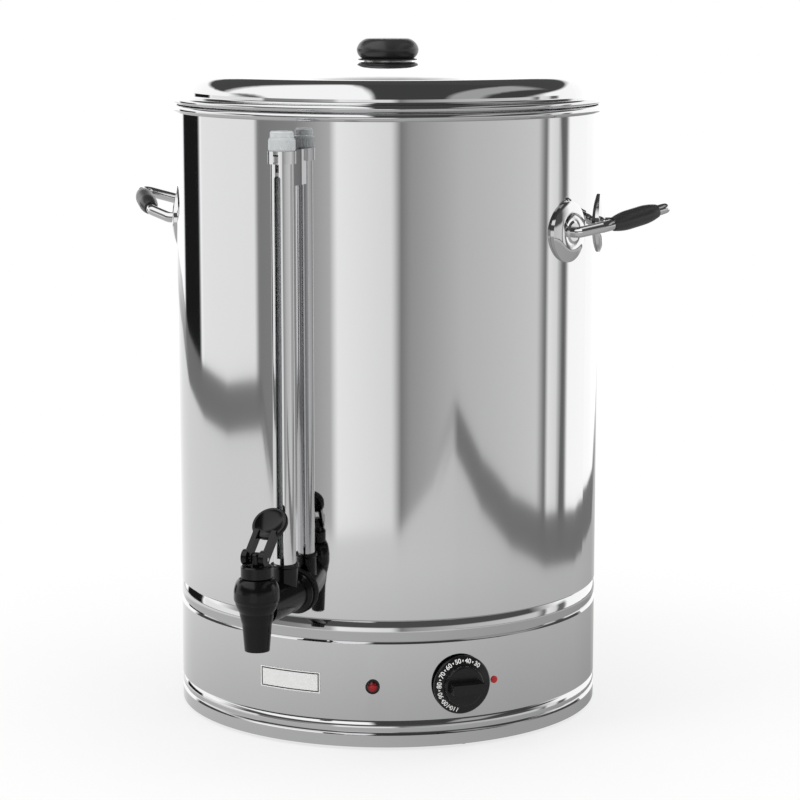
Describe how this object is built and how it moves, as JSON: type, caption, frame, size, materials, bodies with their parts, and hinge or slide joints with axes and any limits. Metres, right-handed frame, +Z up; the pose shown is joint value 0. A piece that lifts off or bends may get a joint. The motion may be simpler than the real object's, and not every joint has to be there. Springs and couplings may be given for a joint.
{
  "type": "hot water urn",
  "caption": "Single wall stainless hot water urn with lift-off lid, side handles, lever tap, sight gauge, thermostat dial and pilot lamp.",
  "frame": {"origin": "centre of the base on the floor, on the tank's axis", "axes": "+Z up the tank's axis, -Y out through the tap, +X to the right as seen from the tap"},
  "size_m": [0.4889, 0.4652, 0.5705],
  "materials": {
    "polished_stainless": "mirror polished stainless sheet",
    "plain_stainless": "plain stainless sheet",
    "chrome_wire": "chrome plated steel",
    "zinc_steel": "zinc plated steel",
    "black_phenolic": "satin moulded phenolic",
    "black_plastic": "satin moulded plastic",
    "black_rubber": "plain",
    "white_silicone": "plain",
    "gauge_glass": "clear",
    "frosted_plastic": "translucent",
    "red_lens": "clear red",
    "red_paint": "printed dot",
    "silver_label": "satin foil",
    "heater_sheath": "satin",
    "brass": "turned",
    "copper_tube": "drawn",
    "cream_ceramic": "fired"
  },
  "bodies": {
    "casing": {"tank_shell": "polished_stainless", "base_skirt": "polished_stainless", "base_plate": "plain_stainless", "base_plate_screws": "zinc_steel", "rubber_feet": "black_rubber", "cable_gland": "black_plastic", "cable_gland_nut": "black_plastic", "handle_rod_right": "chrome_wire", "handle_rod_left": "chrome_wire", "handle_grip_right": "black_phenolic", "handle_grip_left": "black_phenolic", "handle_flanges_right": "chrome_wire", "handle_flanges_left": "chrome_wire", "handle_washers_right": "white_silicone", "handle_washers_left": "white_silicone", "handle_nuts_right": "plain_stainless", "handle_nuts_left": "plain_stainless", "tap_body": "black_plastic", "tap_bonnet": "black_plastic", "tap_spring": "plain_stainless", "tap_washer_outer": "black_rubber", "tap_washer_inner": "white_silicone", "tap_lock_nut": "plain_stainless", "gauge_glass": "gauge_glass", "gauge_guard": "polished_stainless", "gauge_cap": "frosted_plastic", "gauge_bracket": "polished_stainless", "gauge_bracket_screw": "plain_stainless", "gauge_seals": "white_silicone", "thermostat_body": "cream_ceramic", "thermostat_nut": "zinc_steel", "thermostat_probe": "copper_tube", "probe_gland": "brass", "probe_gland_nut": "brass", "pilot_lens": "red_lens", "pilot_bezel": "black_plastic", "pilot_body": "black_plastic", "dial_index_mark": "red_paint", "rating_plate": "silver_label", "heating_element": "heater_sheath", "element_bushes": "brass", "element_seals": "white_silicone", "element_nuts": "brass", "thermal_cutout": "cream_ceramic", "terminal_block": "black_plastic", "earth_stud": "brass"},
    "lid": {"lid_dome": "polished_stainless", "lid_knob": "black_phenolic", "lid_knob_washer": "plain_stainless", "lid_knob_screw": "zinc_steel"},
    "tap_lever": {"tap_lever": "black_plastic"},
    "tap_stem": {"tap_stem": "black_plastic", "tap_seat_cup": "white_silicone", "tap_lever_pin": "plain_stainless"},
    "thermostat_dial": {"thermostat_dial": "black_phenolic", "thermostat_shaft": "plain_stainless"}
  },
  "joints": [
    {"name": "lid_lift", "type": "slide", "parent": "casing", "child": "lid", "axis": [0, 0, 1], "range_m": [0, 0.2]},
    {"name": "lever_pull", "type": "hinge", "parent": "tap_stem", "child": "tap_lever", "pos_m": [0, -0.252, 0.172], "axis": [1, 0, 0], "range_deg": [0, 55]},
    {"name": "stem_lift", "type": "slide", "parent": "casing", "child": "tap_stem", "axis": [0, 0, 1], "range_m": [0, 0.002], "stiffness_N_per_m": 120, "springref_m": -0.002, "deforming": ["tap_spring"]},
    {"name": "dial_turn", "type": "hinge", "parent": "casing", "child": "thermostat_dial", "pos_m": [0.12345, -0.131, 0.054], "axis": [0.6858, -0.7278, 0], "range_deg": [-245, 0]}
  ],
  "couplings": [
    {"joint": "lever_pull", "follows": "stem_lift", "rad_per_m": 479.5}
  ]
}
